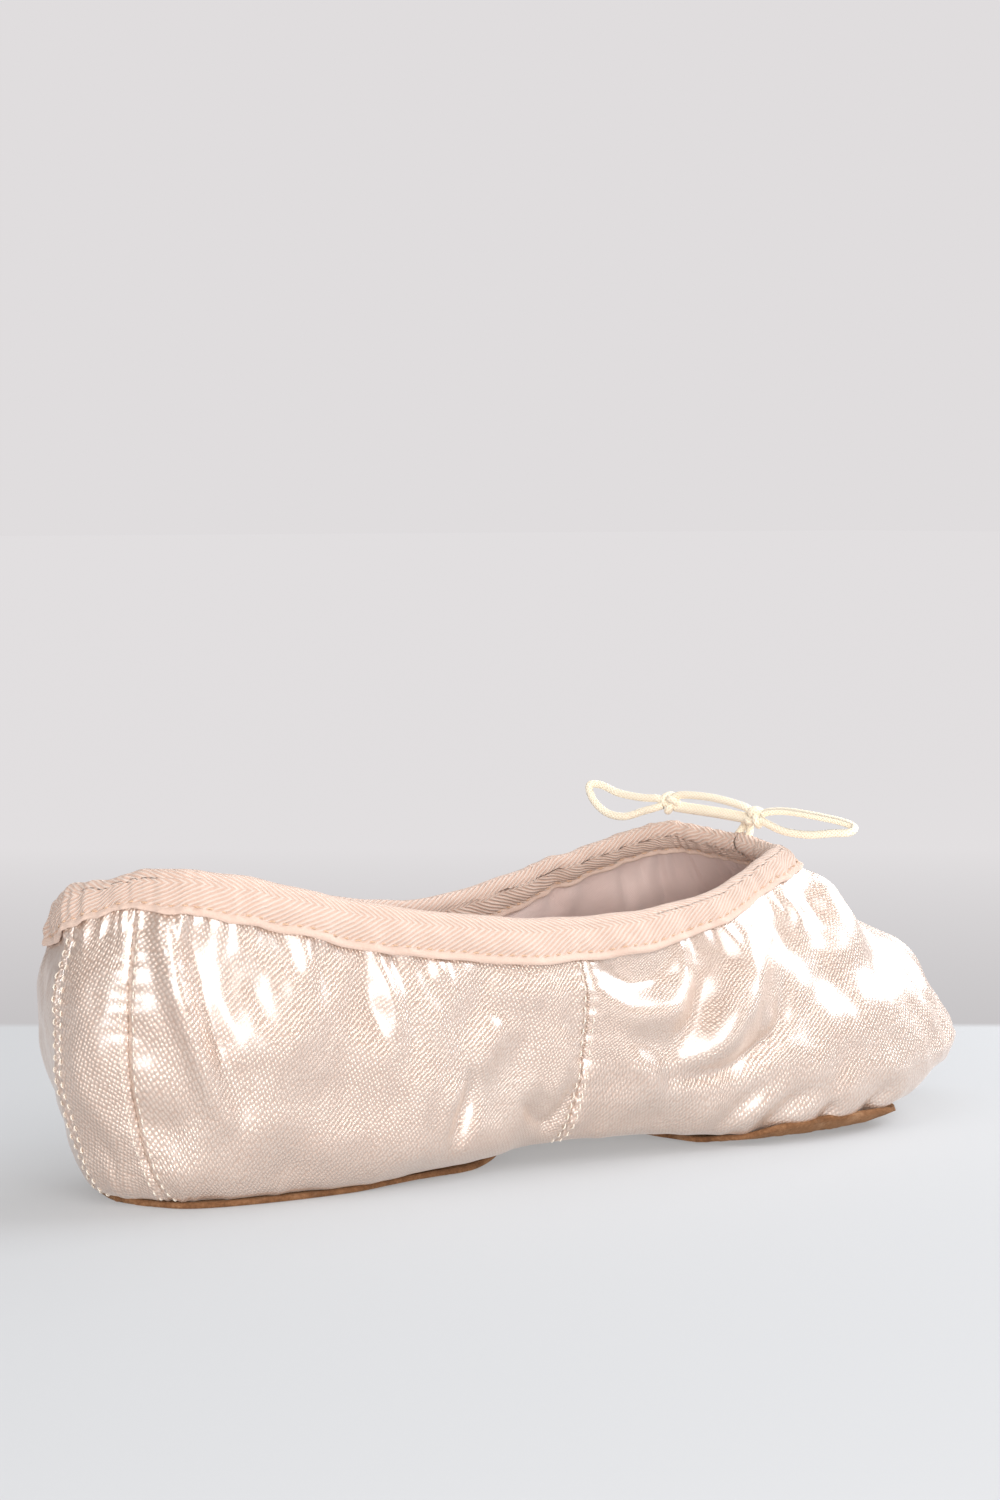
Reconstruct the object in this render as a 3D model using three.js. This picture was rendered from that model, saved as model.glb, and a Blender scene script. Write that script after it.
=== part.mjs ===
// Satin ballet slipper with a split suede sole and an elastic drawstring.
// Millimetres. +X points to the toe, +Y to the wearer's left, +Z up.
// The origin is on the floor, under the middle of the shoe's length and width.
// The shoe bends at the gap between its two suede pads: the pieces behind the
// gap belong to the heel, the pieces ahead of it to the forefoot, and the ones
// named arch_... are the soft stretch that bends between them.
import * as THREE from "three";
import { mergeVertices } from "three/addons/utils/BufferGeometryUtils.js";

// ---------------------------------------------------------------- dimensions

// One row for each of nine stations from the back of the heel to the toe tip,
// on the left side; the right side is its mirror image.
// x, y   widest point of the wall in plan, and z its height
// edge   height of the sole edge, and inset how far it lies inside the wall
// topX, topY, topZ   the topline; twist raises it on the left, lowers it on the right
// bulge  exponent of the wall's curve between the widest point and the topline
const STATIONS = [
  [-118, 0, 34, 1.4, 13, -116.1, 0, 55.8, 0, 2],
  [-112, 17, 33, 1.4, 13, -110.8, 15.4, 58.5, -3.2, 2],
  [-95, 27, 30, 1.4, 12, -93.4, 23, 58.7, -2.4, 2],
  [-55, 30, 24, 2.0, 9, -55, 26.8, 52.6, 0, 2],
  [-8, 31, 22, 4.8, 9, -11.2, 27.8, 47.6, -0.3, 2],
  [35, 36, 18, 2.4, 9, 29, 26, 52.8, 2, 1.9],
  [74, 35.6, 15, 3.2, 9.5, 51.9, 19.9, 59.7, 1.7, 1.6],
  [104, 24, 16.5, 9, 11.5, 59.1, 9.8, 60.5, 0.9, 1.5],
  [118, 0, 18.5, 13, 11, 60.4, 0, 60.9, 0, 1.5],
].map(([x, y, z, edge, inset, topX, topY, topZ, twist, bulge]) => (
  { x, y, z, edge, inset, topX, topY, topZ, twist, bulge }
));

const GAP = 0.3;
const SATIN = 0.8;
const LINING = 0.8;
const LINING_DEPTH = 1.3; // from the satin's outer face to the lining's
const TAPE = 0.7; // thickness of the folded binding tape
const TAPE_LEG = 7; // how far each leg of the folded tape reaches down
const CORD_RADIUS = 0.85;
const CORD_TURN = 1.3; // how tightly the cord's ends turn out of the slit at the throat
const CORD_RISE = 1; // how far the ends then stand up
const TUCK = 7; // satin turned under the foot, inside the sole edge

const SOLE_HEIGHT = 2; // underside of the turned-in satin where the pads lie flat
const ARCH_RISE = 3;
const ARCH_REACH = 34;
const TOE_SPRING = 0.008;
const TOE_SPRING_FROM = 70;

const SEAM_X = -13; // side seam between the quarters and the vamp
const PAD_GAP_X = 13; // front edge of the bare arch
const BACK_STRIP = { from: -0.113, to: 0 }; // places of its two seams: it sits towards the right

const PAD_THICKNESS = 1.2;
const PAD_CLEAR = 2.1; // pad underside below the sole height
const HEEL_PAD = { from: -97, to: -15, halfWidth: 17, corner: 2.5 };
const FOREFOOT_PAD = { from: 15, to: 96, halfWidth: 25, corner: 2.3 };

const BOARD = { lift: SATIN + GAP, thickness: 0.8, inset: 0.8 };
const SOCK = { lift: LINING_DEPTH + LINING + GAP, thickness: 0.9, inset: 0.3 };

const KNOT_RIGHT = new THREE.Vector3(59.1, -4, 65.8);
const KNOT_LEFT = new THREE.Vector3(53.4, 17, 68);
const KNOT_RADIUS = 2.3;

// ----------------------------------------------------------------- materials

const MATERIALS = {
  satin: { color: 0xead5c8, roughness: 0.32, metalness: 0.15 },
  tape: { color: 0xf0d3c2, roughness: 0.85, metalness: 0 },
  lining: { color: 0xd8ccca, roughness: 0.9, metalness: 0 },
  suede: { color: 0xa8805c, roughness: 0.95, metalness: 0 },
  board: { color: 0xcbb89b, roughness: 0.9, metalness: 0 },
  elastic: { color: 0xf3e0bb, roughness: 0.7, metalness: 0 },
};

const slipper = new THREE.Group();

function addPiece(name, geometry, look) {
  const mesh = new THREE.Mesh(geometry, new THREE.MeshStandardMaterial(MATERIALS[look]));
  mesh.name = name;
  slipper.add(mesh);
}

// ------------------------------------------------------- surface of the shoe

const LAST = STATIONS.length - 1;
const ODD = new Set(["y", "topY", "twist"]);

function mirrored(row) {
  return Object.fromEntries(Object.entries(row).map(([key, v]) => [key, ODD.has(key) ? -v : v]));
}

const ROWS = [mirrored(STATIONS[1]), ...STATIONS, mirrored(STATIONS[LAST - 1])];

function spline(a, b, c, d, t) {
  const rate = c - a;
  const bend = 2 * a - 5 * b + 4 * c - d;
  const twist = 3 * (b - c) + d - a;
  return 0.5 * (2 * b + t * (rate + t * (bend + t * twist)));
}

// A place on the outline: 0 is the back of the heel, 1 the toe tip round the
// left side and 2 the heel again round the right; negative goes round the right.
function station(place) {
  const s = place > 1 ? place - 2 : place;
  const along = Math.min(Math.abs(s) * LAST, LAST - 1e-9);
  const i = Math.floor(along);
  const row = {};
  for (const key of Object.keys(STATIONS[0])) {
    const value = spline(...[0, 1, 2, 3].map((k) => ROWS[i + k][key]), along - i);
    row[key] = s < 0 && ODD.has(key) ? -value : value;
  }
  return row;
}

function outward(place) {
  const step = 1e-3;
  const before = station(place - step);
  const after = station(place + step);
  return new THREE.Vector2(before.y - after.y, after.x - before.x).normalize();
}

function soleHeight(x) {
  const arch = Math.cos((Math.PI / 2) * Math.min(Math.abs(x) / ARCH_REACH, 1));
  const spring = TOE_SPRING * Math.max(0, x - TOE_SPRING_FROM) ** 2;
  return SOLE_HEIGHT + ARCH_RISE * arch * arch + spring;
}

function inside(place, distance) {
  const row = station(place);
  const out = outward(place);
  return new THREE.Vector2(row.x - out.x * distance, row.y - out.y * distance);
}

// The satin's outer face. Height runs from -2, the inner end of the part turned
// under, through -1, the sole edge, and 0, the widest line, to 1, the topline.
function wallPoint(place, height) {
  const row = station(place);
  if (height < -1) {
    const turned = -1 - height;
    const p = inside(place, row.inset + TUCK * turned);
    return new THREE.Vector3(p.x, p.y, row.edge + (soleHeight(p.x) - row.edge) * turned);
  }
  if (height < 0) {
    const angle = ((1 + height) * Math.PI) / 2;
    const p = inside(place, row.inset * (1 - Math.sin(angle)));
    return new THREE.Vector3(p.x, p.y, row.edge + (row.z - row.edge) * (1 - Math.cos(angle)));
  }
  const inwards = height ** row.bulge;
  return new THREE.Vector3(
    row.x + (row.topX - row.x) * inwards,
    row.y + (row.topY - row.y) * inwards,
    row.z + (row.topZ + row.twist - row.z) * height,
  );
}

function wallFrame(place, height) {
  const step = 2e-3;
  const h = Math.min(Math.max(height, step - 2), 1 - step);
  const up = wallPoint(place, h + step).sub(wallPoint(place, h - step)).normalize();
  const along = wallPoint(place + step, height).sub(wallPoint(place - step, height));
  const normal = new THREE.Vector3().crossVectors(up, along).normalize();
  return { up, normal };
}

function offsetPoint(place, height, depth) {
  return wallPoint(place, height).addScaledVector(wallFrame(place, height).normal, -depth);
}

// A point of the binding's section: depth inwards from the satin's outer face,
// and rise above the topline or, when negative, down the wall from it.
function rimPoint(place, depth, rise) {
  const wall = wallPoint(place, 1).distanceTo(wallPoint(place, 0));
  const height = 1 + Math.min(rise, 0) / wall;
  const { up, normal } = wallFrame(place, height);
  return wallPoint(place, height).addScaledVector(normal, -depth).addScaledVector(up, Math.max(rise, 0));
}

function placeAt(x) {
  let low = 0;
  let high = 1;
  for (let i = 0; i < 40; i += 1) {
    const middle = (low + high) / 2;
    if (station(middle).x < x) low = middle;
    else high = middle;
  }
  return low;
}

// ------------------------------------------------------------ solid building

const SIDES = 8; // of a cord's round section

function steps(from, to, count) {
  return Array.from({ length: count + 1 }, (_, i) => from + ((to - from) * i) / count);
}

function signedVolume(points, faces) {
  const cross = new THREE.Vector3();
  return faces.reduce((sum, [a, b, c]) => sum + cross.crossVectors(points[b], points[c]).dot(points[a]), 0);
}

function solid(points, faces) {
  const turned = signedVolume(points, faces) < 0 ? faces.map(([a, b, c]) => [a, c, b]) : faces;
  const geometry = new THREE.BufferGeometry();
  geometry.setAttribute("position", new THREE.Float32BufferAttribute(points.flatMap((p) => p.toArray()), 3));
  geometry.setIndex(turned.flat());
  return mergeVertices(geometry, 1e-5);
}

// Joins a row of closed sections. Each section lists one face of a thin wall
// and then the other face backwards, so that its two ends close as strips.
function loft(sections) {
  const size = sections[0].length;
  const faces = [];
  const quad = (a, b, c, d) => faces.push([a, b, c], [a, c, d]);
  for (let i = 0; i < sections.length - 1; i += 1) {
    for (let j = 0; j < size; j += 1) {
      const next = (j + 1) % size;
      quad(i * size + j, i * size + next, (i + 1) * size + next, (i + 1) * size + j);
    }
  }
  const last = (sections.length - 1) * size;
  for (let j = 0; j < size / 2 - 1; j += 1) {
    const across = size - 1 - j;
    quad(j, across, across - 1, j + 1);
    quad(last + j, last + j + 1, last + across - 1, last + across);
  }
  return solid(sections.flat(), faces);
}

function shell(places, heights, outer, inner) {
  return loft(places.map((place) => [
    ...heights.map((h) => offsetPoint(place, h, outer)),
    ...heights.map((h) => offsetPoint(place, h, inner)).reverse(),
  ]));
}

// A band right round the foot: down one wall, across the sole, up the other.
function band(places, heights, acrossCount, outer, inner) {
  const face = (place, depth) => {
    const left = heights.map((h) => offsetPoint(place, h, depth));
    const right = heights.map((h) => offsetPoint(-place, h, depth));
    const start = left.at(-1);
    const end = right.at(-1);
    const middle = steps(0, 1, acrossCount).slice(1, -1)
      .map((k) => new THREE.Vector3().lerpVectors(start, end, k));
    return [...left, ...middle, ...right.reverse()];
  };
  return loft(places.map((place) => [...face(place, outer), ...face(place, inner).reverse()]));
}

function plate(rows, columns, thickness) {
  return loft(rows.map(({ x, half, floor }) => {
    const across = steps(-half, half, columns);
    return [
      ...across.map((y) => new THREE.Vector3(x, y, floor)),
      ...across.map((y) => new THREE.Vector3(x, y, floor + thickness)).reverse(),
    ];
  }));
}

function solePlate(places, layer) {
  const rows = places.map((place) => {
    const row = station(place);
    const side = inside(place, row.inset + layer.inset);
    return { x: side.x, half: side.y, floor: Math.max(row.edge, soleHeight(side.x)) + layer.lift };
  });
  return plate(rows, 4, layer.thickness);
}

function suedePad(pad) {
  const middle = (pad.from + pad.to) / 2;
  const reach = (pad.to - pad.from) / 2;
  const rows = steps(-0.49, 0.49, 14).map((k) => {
    const along = Math.sin(k * Math.PI);
    const x = middle + reach * along;
    const half = pad.halfWidth * (1 - Math.abs(along) ** pad.corner) ** (1 / pad.corner);
    return { x, half, floor: Math.max(0, soleHeight(x) - PAD_CLEAR) };
  });
  return plate(rows, 6, PAD_THICKNESS);
}

// The tape is folded over the edge of the satin and lining like a long letter U
// turned over, with the cord lying in its fold.
const FOLD_DEPTH = (LINING_DEPTH + LINING) / 2;
const FOLD_RADIUS = FOLD_DEPTH + GAP;
const FOLD_RISE = CORD_RADIUS + 0.45; // of the cord's middle above the topline

function foldPath(radius) {
  const arc = steps(Math.PI, 0, 4);
  return [
    [FOLD_DEPTH - radius, -TAPE_LEG],
    [FOLD_DEPTH - radius, -TAPE_LEG / 2],
    ...arc.map((a) => [FOLD_DEPTH + radius * Math.cos(a), FOLD_RISE + radius * Math.sin(a)]),
    [FOLD_DEPTH + radius, -TAPE_LEG / 2],
    [FOLD_DEPTH + radius, -TAPE_LEG],
  ];
}

function binding(places) {
  const section = (place, radius) => foldPath(radius).map(([depth, rise]) => rimPoint(place, depth, rise));
  return loft(places.map((place) => [
    ...section(place, FOLD_RADIUS + TAPE),
    ...section(place, FOLD_RADIUS).reverse(),
  ]));
}

function cord(points, count) {
  const path = new THREE.CatmullRomCurve3(points);
  const section = new THREE.Shape();
  section.absarc(0, 0, CORD_RADIUS, 0, 2 * Math.PI);
  const options = { extrudePath: path, steps: count, curveSegments: SIDES };
  const geometry = new THREE.ExtrudeGeometry(section, options);
  geometry.deleteAttribute("normal");
  geometry.deleteAttribute("uv");
  return mergeVertices(geometry, 1e-5);
}

function ring(centre, across, upright) {
  return steps(0, 2 * Math.PI, SIDES).slice(1).map((angle) => centre.clone()
    .addScaledVector(across, CORD_RADIUS * Math.cos(angle))
    .addScaledVector(upright, CORD_RADIUS * Math.sin(angle)));
}

function casedRings(places) {
  return places.map((place) => {
    const { up, normal } = wallFrame(place, 1);
    return ring(rimPoint(place, FOLD_DEPTH, FOLD_RISE), up, normal);
  });
}

// The end of the cord turns out of the slit between the tape's two ends.
function endRings(places) {
  const last = places.at(-1);
  const start = rimPoint(last, FOLD_DEPTH, FOLD_RISE);
  const along = start.clone().sub(rimPoint(places.at(-2), FOLD_DEPTH, FOLD_RISE)).normalize();
  const { up, normal } = wallFrame(last, 1);
  const turned = (angle, rise) => {
    const centre = start.clone()
      .addScaledVector(along, CORD_TURN * Math.sin(angle))
      .addScaledVector(normal, CORD_TURN * (1 - Math.cos(angle)) + rise);
    const upright = normal.clone().multiplyScalar(Math.cos(angle)).addScaledVector(along, -Math.sin(angle));
    return ring(centre, up, upright);
  };
  return [turned(Math.PI / 4, 0), turned(Math.PI / 2, 0), turned(Math.PI / 2, CORD_RISE)];
}

// --------------------------------------------------------------- the pieces

const SEAM = placeAt(SEAM_X);
const ARCH_FRONT = placeAt(PAD_GAP_X);
const APART = 0.0009; // keeps neighbouring pieces about 0.3 mm apart along the outline
const THROAT_GAP = 0.033; // half the slit between the tape's ends, where the cord comes out

const OUTER_HEIGHTS = [-2, -1.5, -1, -0.75, -0.5, -0.25, 0, 0.25, 0.5, 0.75, 1];
const LINING_HEIGHTS = [-0.75, -0.5, -0.25, 0, 0.25, 0.5, 0.75, 1];
const BAND_HEIGHTS = [1, 0.75, 0.5, 0.25, 0, -0.25, -0.5, -0.75, -1, -1.5, -2];
const BAND_LINING_HEIGHTS = [1, 0.75, 0.5, 0.25, 0, -0.25, -0.5, -0.75, -1, -2];

const satinShell = (places) => shell(places, OUTER_HEIGHTS, 0, SATIN);
const liningShell = (places) => shell(places, LINING_HEIGHTS, LINING_DEPTH, LINING_DEPTH + LINING);

function addHeel() {
  const left = steps(BACK_STRIP.to + APART, SEAM - APART, 10);
  const right = steps(APART - SEAM, BACK_STRIP.from - APART, 8);
  const strip = steps(BACK_STRIP.from + APART, BACK_STRIP.to - APART, 3);
  const round = [...right, ...strip, ...left];
  addPiece("back_strip", satinShell(strip), "satin");
  addPiece("quarter_left", satinShell(left), "satin");
  addPiece("quarter_right", satinShell(right), "satin");
  addPiece("heel_lining", liningShell(round), "lining");
  addPiece("heel_binding", binding(round), "tape");
  addPiece("heel_drawstring", loft(casedRings(round)), "elastic");
  addPiece("heel_board", solePlate(steps(0.02, SEAM - 0.006, 9), BOARD), "board");
  addPiece("heel_sock", solePlate(steps(0.02, SEAM - 0.004, 9), SOCK), "lining");
  addPiece("heel_pad", suedePad(HEEL_PAD), "suede");
}

function addArch() {
  const places = steps(SEAM + APART, ARCH_FRONT - APART, 4);
  addPiece("arch_satin", band(places, BAND_HEIGHTS, 4, 0, SATIN), "satin");
  const lining = band(places, BAND_LINING_HEIGHTS, 4, LINING_DEPTH, LINING_DEPTH + LINING);
  addPiece("arch_lining", lining, "lining");
  addPiece("arch_sock", solePlate(places, SOCK), "lining");
  addPiece("arch_binding_left", binding(places), "tape");
  addPiece("arch_binding_right", binding(places.map((p) => -p)), "tape");
  addPiece("arch_drawstring_left", loft(casedRings(places)), "elastic");
  addPiece("arch_drawstring_right", loft(casedRings(places.map((p) => -p))), "elastic");
}

function addForefoot() {
  const rear = ARCH_FRONT + APART;
  const left = steps(rear, 1 - THROAT_GAP, 16);
  const right = left.map((p) => 2 - p);
  const round = [...left, 1, ...right.toReversed()];
  addPiece("vamp", satinShell(round), "satin");
  addPiece("vamp_lining", liningShell(round), "lining");
  addPiece("binding_left", binding(left), "tape");
  addPiece("binding_right", binding(right), "tape");
  addPiece("drawstring_left", loft([...casedRings(left), ...endRings(left)]), "elastic");
  addPiece("drawstring_right", loft([...casedRings(right), ...endRings(right)]), "elastic");
  addPiece("forefoot_board", solePlate(steps(ARCH_FRONT + 0.006, 0.985, 10), BOARD), "board");
  addPiece("forefoot_sock", solePlate(steps(ARCH_FRONT + 0.004, 0.985, 10), SOCK), "lining");
  addPiece("forefoot_pad", suedePad(FOREFOOT_PAD), "suede");
}

// ------------------------------------------------------------------- the bow

// Each loop leaves its knot, swings out to its tip and comes back to the knot.
const LOOP_LEFT = [
  [51.9, 20.3, 68.9], [50.9, 24, 68.9], [49.6, 30, 69.6], [48.4, 34.8, 71.2], [46.6, 36.6, 71.0],
  [46.2, 34.6, 67.8], [47.2, 31.2, 65.2], [48.6, 27, 64.6], [50.4, 22.6, 66.0], [51.2, 20.2, 66.7],
];
const LOOP_RIGHT = [
  [60.6, -7.2, 67.2], [62.2, -11, 67.4], [64, -17, 66.8], [66, -23.6, 65.8], [66.6, -26.8, 64.8],
  [64.8, -27.4, 63.8], [63.2, -23.4, 63.4], [61.8, -18, 62.8], [60.4, -12, 63.2], [59.6, -7.4, 64.6],
];
const STRAND_TOP = [[58.1, -1, 68.2], [56.4, 6.6, 69.6], [54.6, 14, 69.9]];
const STRAND_LOW = [[58.9, -0.9, 65.6], [57, 6.6, 66.4], [55, 13.9, 67.0]];

function cordThrough(list, count) {
  return cord(list.map((p) => new THREE.Vector3(...p)), count);
}

function knot(centre) {
  const geometry = new THREE.SphereGeometry(KNOT_RADIUS, 10, 8);
  geometry.deleteAttribute("normal");
  geometry.deleteAttribute("uv");
  geometry.translate(centre.x, centre.y, centre.z);
  return mergeVertices(geometry, 1e-5);
}

function addBow() {
  addPiece("bow_knot_left", knot(KNOT_LEFT), "elastic");
  addPiece("bow_knot_right", knot(KNOT_RIGHT), "elastic");
  addPiece("bow_loop_left", cordThrough(LOOP_LEFT, 20), "elastic");
  addPiece("bow_loop_right", cordThrough(LOOP_RIGHT, 20), "elastic");
  addPiece("bow_strand_top", cordThrough(STRAND_TOP, 6), "elastic");
  addPiece("bow_strand_low", cordThrough(STRAND_LOW, 6), "elastic");
}

addHeel();
addArch();
addForefoot();
addBow();

export default slipper;
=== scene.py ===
"""Satin ballet slipper: the looks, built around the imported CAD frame.

Blender works in metres. The shoe's own lists are in millimetres, as in the CAD source, and MM turns them
into metres.
"""

import bmesh
import bpy
import numpy as np
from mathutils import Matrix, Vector


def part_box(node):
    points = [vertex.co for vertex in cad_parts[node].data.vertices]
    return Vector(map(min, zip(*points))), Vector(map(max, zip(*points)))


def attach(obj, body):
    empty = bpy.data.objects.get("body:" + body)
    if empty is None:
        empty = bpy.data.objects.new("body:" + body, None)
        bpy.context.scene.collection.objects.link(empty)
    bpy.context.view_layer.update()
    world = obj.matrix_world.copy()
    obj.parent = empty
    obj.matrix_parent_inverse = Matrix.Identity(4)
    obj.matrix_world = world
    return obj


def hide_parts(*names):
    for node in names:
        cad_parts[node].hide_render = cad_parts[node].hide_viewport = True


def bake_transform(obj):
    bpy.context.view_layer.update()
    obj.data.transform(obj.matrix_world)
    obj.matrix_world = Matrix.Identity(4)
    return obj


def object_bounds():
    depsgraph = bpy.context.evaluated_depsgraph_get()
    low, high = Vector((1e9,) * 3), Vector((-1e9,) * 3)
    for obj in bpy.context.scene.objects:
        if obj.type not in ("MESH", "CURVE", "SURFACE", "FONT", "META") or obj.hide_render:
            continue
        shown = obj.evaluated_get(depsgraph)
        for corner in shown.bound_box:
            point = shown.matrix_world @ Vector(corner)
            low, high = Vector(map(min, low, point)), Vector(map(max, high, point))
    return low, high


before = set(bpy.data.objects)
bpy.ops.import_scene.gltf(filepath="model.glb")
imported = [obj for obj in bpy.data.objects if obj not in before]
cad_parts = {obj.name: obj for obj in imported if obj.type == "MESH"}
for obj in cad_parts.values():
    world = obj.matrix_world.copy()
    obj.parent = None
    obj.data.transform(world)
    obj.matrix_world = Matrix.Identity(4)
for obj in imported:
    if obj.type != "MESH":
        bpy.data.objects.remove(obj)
cad_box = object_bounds()

DESIGN_LENGTH = 236.4  # millimetres from heel to toe that the lists below are drawn for
MM = (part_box("vamp")[1][0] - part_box("back_strip")[0][0]) / DESIGN_LENGTH

# ----- dimensions -----

# The nine stations of the CAD outline, back of the heel to toe tip, left side.
# x, y, z widest point; edge, inset of the sole edge; topline x, y, z; twist; bulge
STATIONS = np.array([
    [-118, 0, 34, 1.4, 13, -116.1, 0, 55.8, 0, 2],
    [-112, 17, 33, 1.4, 13, -110.8, 15.4, 58.5, -3.2, 2],
    [-95, 27, 30, 1.4, 12, -93.4, 23, 58.7, -2.4, 2],
    [-55, 30, 24, 2.0, 9, -55, 26.8, 52.6, 0, 2],
    [-8, 31, 22, 4.8, 9, -11.2, 27.8, 47.6, -0.3, 2],
    [35, 36, 18, 2.4, 9, 29, 26, 52.8, 2, 1.9],
    [74, 35.6, 15, 3.2, 9.5, 51.9, 19.9, 59.7, 1.7, 1.6],
    [104, 24, 16.5, 9, 11.5, 59.1, 9.8, 60.5, 0.9, 1.5],
    [118, 0, 18.5, 13, 11, 60.4, 0, 60.9, 0, 1.5],
])
MIRRORED = np.array([1, -1, 1, 1, 1, 1, -1, 1, -1, 1])
TUCK = 7  # satin turned under the foot; at the bare arch it reaches the middle
SOLE_HEIGHT = 2
ARCH_RISE = 3
ARCH_REACH = 34
BARE_FROM = 24  # where the satin under the foot starts to widen towards the bare arch
BARE_FADE = 6
TUCK_GAP = 0.15
TOE_SPRING = 0.008
TOE_SPRING_FROM = 70

SATIN = 0.8
LINING = 0.8
LINING_DEPTH = 1.3
TAPE = 0.7
CORD_RADIUS = 0.85
LOW_STRAND_RADIUS = 1.2
FOLD_DEPTH = (LINING_DEPTH + LINING) / 2
FOLD_RADIUS = 1.35
FOLD_RISE = 1.3
TAPE_LEG = 6.4
THROAT_GAP = 0.005
UNDER_RIM = 0.998  # height just under the topline, where the binding takes the wall's direction
TAPE_COLS = 57
TAPE_STITCH = 9.1  # distance from the top of the fold to the stitch line
STITCH_PITCH = 2.9
STITCH_LENGTH = 1.7
SEAM_PITCH = 2.3
SEAM_STITCH = 1.6
SEAM_FOOT = -0.95  # height where the seams' stitches start, at the sole edge
THREAD_RADIUS = 0.2
SEAM_THREAD_RADIUS = 0.19
RIB_PITCH = 1.62  # herringbone: distance between ribs, their slope, and where they meet in points
RIB_SLOPE = 1.75
RIB_APEX = 4.4

SIDE_SEAM = 0.488
STRIP_RIGHT = -0.113
STRIP_LEFT = 0.0

LOOP_LEFT = [
    [51.9, 20.3, 68.9], [50.9, 24, 68.9], [49.6, 30, 69.6], [48.4, 34.8, 71.2], [46.6, 36.6, 71.0],
    [46.2, 34.6, 67.8], [47.2, 31.2, 65.2], [48.6, 27, 64.6], [50.4, 22.6, 66.0], [51.2, 20.2, 66.7],
]
LOOP_RIGHT = [
    [60.6, -7.2, 67.2], [62.2, -11, 67.4], [64, -17, 66.8], [66, -23.6, 65.8], [66.6, -26.8, 64.8],
    [64.8, -27.4, 63.8], [63.2, -23.4, 63.4], [61.8, -18, 62.8], [60.4, -12, 63.2], [59.6, -7.4, 64.6],
]
STRAND_TOP = [[58.1, -1, 68.2], [56.4, 6.6, 69.6], [54.6, 14, 69.9]]
STRAND_LOW = [[58.9, -0.9, 65.6], [57, 6.6, 66.4], [55, 13.9, 67.0]]
KNOT_RIGHT = [59.1, -4, 65.8]
KNOT_LEFT = [53.4, 17, 68]
DRAWSTRING_START = [[58.6, -2.6, 65.4], [59.6, -1.6, 64.6], [60.5, -1.0, 63.6]]
DRAWSTRING_END = [[60.6, 1.0, 63.6], [59.9, 0.2, 64.8], [58.8, -1.2, 65.6]]

CAMERA_PLACE = (-509.8, -607.6, 134.4)
CAMERA_LOOK = (0.6344, 0.7703, -0.0650)
CAMERA_LENS = 91.7
BACKDROP_DISTANCE = 975

# ----- meshes -----


def make(name, points, faces, cloth=None, turn_out=True):
    """A smooth mesh object from millimetre points; cloth is each point's place on the flat cloth, in mm."""
    mesh = bpy.data.meshes.new(name)
    mesh.from_pydata((np.reshape(points, (-1, 3)) * MM).tolist(), [], faces)
    if cloth is not None:
        corners = np.empty(len(mesh.loops), dtype=np.int64)
        mesh.loops.foreach_get("vertex_index", corners)
        flat = np.asarray(cloth, dtype=np.float32).reshape(-1, 2)[corners]
        mesh.uv_layers.new(name="cloth").data.foreach_set("uv", flat.ravel())
    if turn_out:
        tidy = bmesh.new()
        tidy.from_mesh(mesh)
        bmesh.ops.recalc_face_normals(tidy, faces=tidy.faces)
        tidy.to_mesh(mesh)
        tidy.free()
    mesh.shade_smooth()
    obj = bpy.data.objects.new(name, mesh)
    bpy.context.scene.collection.objects.link(obj)
    return obj


def quads(index):
    corners = [index[:-1, :-1], index[1:, :-1], index[1:, 1:], index[:-1, 1:]]
    return np.stack(corners, axis=-1).reshape(-1, 4)


def shell(name, outer, inner, cloth):
    """A thin sheet with both faces and a closed rim, from two grids of points."""
    rows, cols = outer.shape[:2]
    index = np.arange(rows * cols).reshape(rows, cols)
    rim = np.concatenate([index[0, :-1], index[:-1, -1], index[-1, :0:-1], index[:0:-1, 0]])
    after = np.roll(rim, -1)
    size = rows * cols
    side = np.stack([rim, after, after + size, rim + size], axis=-1)
    faces = np.concatenate([quads(index), quads(index)[:, ::-1] + size, side])
    points = np.concatenate([outer.reshape(-1, 3), inner.reshape(-1, 3)])
    return make(name, points, faces.tolist(), np.concatenate([cloth.reshape(-1, 2)] * 2))


def tube(sections, closed=False):
    """Points and faces of a tube through rings of points, with capped ends unless it is closed."""
    count, size = sections.shape[:2]
    index = np.arange(count * size).reshape(count, size)
    index = np.concatenate([index, index[:, :1]], axis=1)
    if closed:
        index = np.concatenate([index, index[:1]], axis=0)
        return sections.reshape(-1, 3), quads(index).tolist()
    caps = [index[0, :-1].tolist(), index[-1, -2::-1].tolist()]
    return sections.reshape(-1, 3), quads(index).tolist() + caps


def distance(path):
    """How far along a path each of its points is."""
    return np.concatenate([[0], np.cumsum(np.linalg.norm(np.diff(path, axis=0), axis=1))])


def points_at(where, run, values):
    """Rows of a table at given distances along it."""
    return np.stack([np.interp(where, run, values[:, k]) for k in range(values.shape[1])], axis=1)


def unit(vectors):
    return vectors / np.maximum(np.linalg.norm(vectors, axis=-1, keepdims=True), 1e-12)


def smooth(points, count):
    """Points of a Catmull-Rom curve through a given list, evenly spaced."""
    given = np.asarray(points, dtype=float)
    rows = np.concatenate([2 * given[:1] - given[1:2], given, 2 * given[-1:] - given[-2:-1]])
    along = np.linspace(0, len(given) - 1, 40 * len(given))
    fine = spline(rows, np.minimum(along, len(given) - 1 - 1e-9))
    length = distance(fine)
    return points_at(np.linspace(0, length[-1], count), length, fine)


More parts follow.
